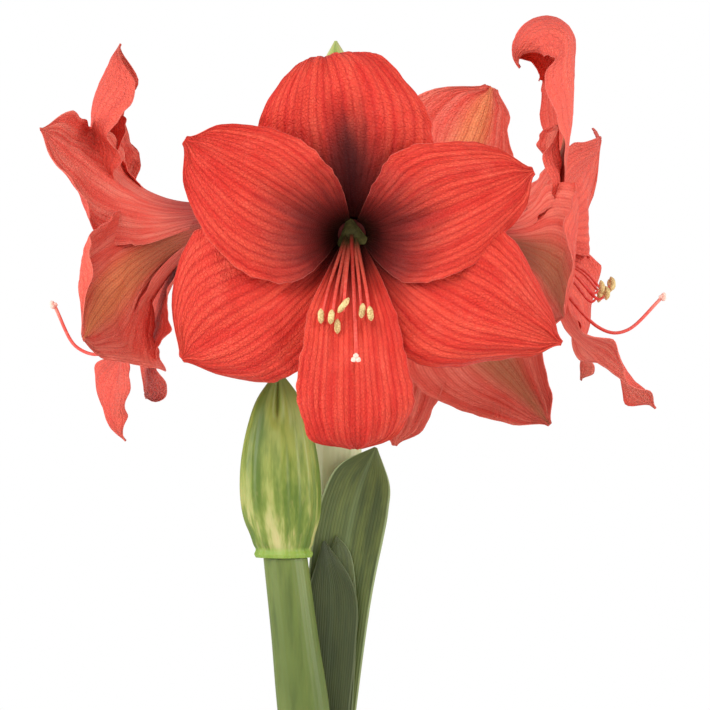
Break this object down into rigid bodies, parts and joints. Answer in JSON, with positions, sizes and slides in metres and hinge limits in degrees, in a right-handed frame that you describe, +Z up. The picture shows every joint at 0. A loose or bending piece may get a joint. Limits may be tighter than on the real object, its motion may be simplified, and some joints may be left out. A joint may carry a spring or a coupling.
{
  "type": "potted amaryllis",
  "caption": "Amaryllis in flower in a plain round pot: wide trumpet blooms on a thick upright stalk, a closed bud on its own stalk, and strap leaves from one bulb.",
  "frame": {"origin": "middle of the pot's flat base, on the surface that the pot stands on", "axes": "+Z up; -Y towards the front, where the front bloom faces; +X to the right as seen from the front"},
  "size_m": [0.3215, 0.3021, 0.5472],
  "materials": {
    "clay_pot": "matte",
    "soil": "matte",
    "bulb_tunic": "satin",
    "root": "matte",
    "main_stalk": "satin",
    "small_bud_green": "satin",
    "bud_stalk": "satin",
    "closed_bud": "satin",
    "leaf": "satin",
    "withered_bract": "matte",
    "tepal": "satin",
    "stamen": "satin",
    "style": "satin"
  },
  "bodies": {
    "root": {"pot": "clay_pot", "potting_soil": "soil", "bulb": "bulb_tunic", "roots": "root", "main_scape": "main_stalk", "small_bud": "small_bud_green", "bud_scape": "bud_stalk", "bud_spathe": "closed_bud", "leaf_tall": "leaf", "leaf_short": "leaf", "leaf_small": "leaf", "spathe_bract_left": "withered_bract", "spathe_bract_right": "withered_bract", "bloom_front": "tepal", "stamens_front": "stamen", "pistil_front": "style", "bloom_left": "tepal", "stamens_left": "stamen", "pistil_left": "style", "bloom_right": "tepal", "stamens_right": "stamen", "pistil_right": "style", "bloom_back": "tepal", "stamens_back": "stamen", "pistil_back": "style"}
  },
  "joints": []
}
